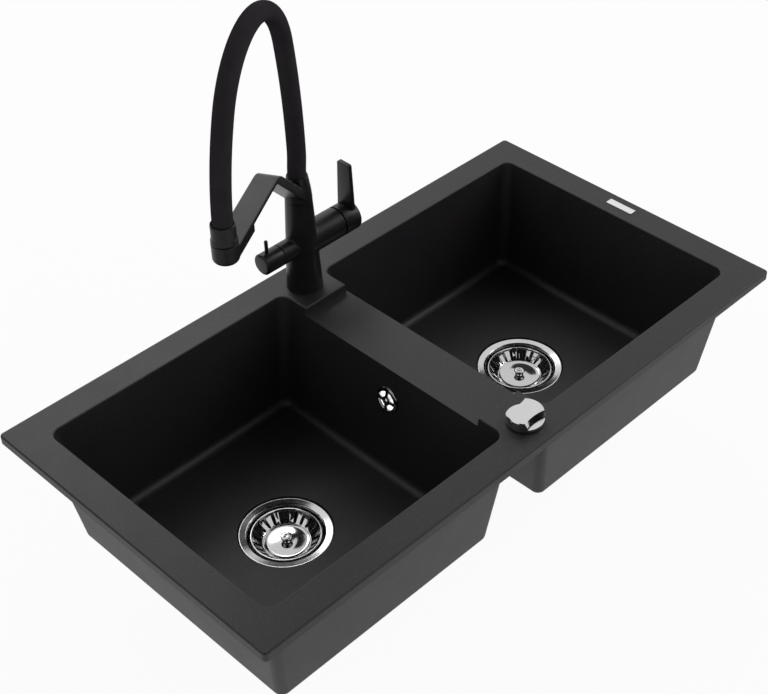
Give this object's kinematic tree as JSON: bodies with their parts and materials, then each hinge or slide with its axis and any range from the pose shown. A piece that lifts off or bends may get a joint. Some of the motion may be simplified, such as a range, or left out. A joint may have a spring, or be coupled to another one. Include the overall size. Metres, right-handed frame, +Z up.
{
  "type": "double bowl kitchen sink",
  "caption": "Composite kitchen sink with side by side bowls, a lowered bridge, strainer wastes, overflow, remote plug knob and a swivel tap with an arched hose.",
  "frame": {"origin": "middle of the rim in plan, on the worktop's top face (the rim's underside)", "axes": "+X to the right along the sink's front edge, +Y towards the tap ledge, +Z up"},
  "size_m": [0.82, 0.436, 0.6404],
  "materials": {
    "composite": "granite composite, matt black with fine grey grains",
    "plate_steel": "brushed, blank",
    "drain_steel": "polished and lightly brushed",
    "basket_steel": "pressed and polished",
    "pull_steel": "turned",
    "screw_steel": "turned",
    "rosette_chrome": "polished",
    "knob_chrome": "polished with a fine brush",
    "seal_rubber": "black sealing rubber",
    "waste_plastic": "white waste fitting plastic",
    "cartridge_plastic": "ceramic cartridge body",
    "outlet_plastic": "aerator plastic",
    "ring_black": "black threaded ring",
    "tap_black": "matt black powder coat",
    "hose_silicone": "satin black silicone sleeve",
    "valve_brass": "machined"
  },
  "bodies": {
    "sink": {"rim": "composite", "bridge": "composite", "bowl_left": "composite", "bowl_right": "composite", "badge_plate": "plate_steel", "waste_flange_left": "drain_steel", "waste_flange_right": "drain_steel", "flange_seal_left": "seal_rubber", "flange_seal_right": "seal_rubber", "waste_gasket_left": "seal_rubber", "waste_gasket_right": "seal_rubber", "waste_body_left": "waste_plastic", "waste_body_right": "waste_plastic", "waste_screw_left": "screw_steel", "waste_screw_right": "screw_steel", "overflow_rosette": "rosette_chrome", "overflow_screw": "screw_steel", "overflow_gasket": "seal_rubber", "overflow_housing": "waste_plastic", "plug_bush": "knob_chrome", "plug_washer": "seal_rubber", "plug_nut": "waste_plastic", "plug_drive": "waste_plastic", "tap_gasket": "seal_rubber", "tap_body": "tap_black", "tap_shank": "valve_brass", "clamp_washer_rubber": "seal_rubber", "clamp_washer_metal": "screw_steel", "fixing_nut": "valve_brass", "swivel_tube": "valve_brass", "swivel_washer": "seal_rubber", "mixer_cartridge": "cartridge_plastic", "mixer_ring": "ring_black", "filter_valve": "valve_brass"},
    "spout": {"holder_arm": "tap_black", "filter_outlet": "outlet_plastic", "hose": "hose_silicone", "hose_root_nipple": "valve_brass", "hose_head_nipple": "valve_brass", "head_sleeve": "tap_black", "spray_nozzle": "tap_black", "aerator": "outlet_plastic"},
    "mixer_lever": {"lever": "tap_black", "mixer_spindle": "valve_brass", "grub_screw": "screw_steel"},
    "filter_tap": {"filter_knob": "tap_black", "filter_spindle": "valve_brass", "filter_pin": "tap_black"},
    "remote_knob": {"plug_knob": "knob_chrome", "plug_spindle": "valve_brass"},
    "lift": {"lift_pin": "screw_steel"},
    "strainer_left": {"basket_left": "basket_steel", "basket_seal_left": "seal_rubber", "basket_pull_left": "pull_steel"},
    "strainer_right": {"basket_right": "basket_steel", "basket_seal_right": "seal_rubber", "basket_pull_right": "pull_steel"}
  },
  "joints": [
    {"name": "spout_swivel", "type": "hinge", "parent": "sink", "child": "spout", "pos_m": [0, 0.176, 0.13], "axis": [0, 0, 1], "range_deg": [-40, 160]},
    {"name": "mixer_turn", "type": "hinge", "parent": "sink", "child": "mixer_lever", "pos_m": [0.06, 0.176, 0.0735], "axis": [1, 0, 0], "range_deg": [0, 100]},
    {"name": "filter_turn", "type": "hinge", "parent": "sink", "child": "filter_tap", "pos_m": [-0.04, 0.176, 0.073], "axis": [1, 0, 0], "range_deg": [0, 90]},
    {"name": "knob_turn", "type": "hinge", "parent": "sink", "child": "remote_knob", "pos_m": [0, -0.18, 0.012], "axis": [0, 0, 1], "range_deg": [0, 90]},
    {"name": "plug_lift", "type": "slide", "parent": "sink", "child": "lift", "axis": [0, 0, 1], "range_m": [0, 0.008]},
    {"name": "strainer_left_out", "type": "slide", "parent": "lift", "child": "strainer_left", "axis": [0, 0, 1], "range_m": [0, 0.2]},
    {"name": "strainer_right_out", "type": "slide", "parent": "sink", "child": "strainer_right", "axis": [0, 0, 1], "range_m": [0, 0.2]}
  ],
  "couplings": [
    {"joint": "plug_lift", "follows": "knob_turn", "m_per_rad": 0.00509}
  ]
}
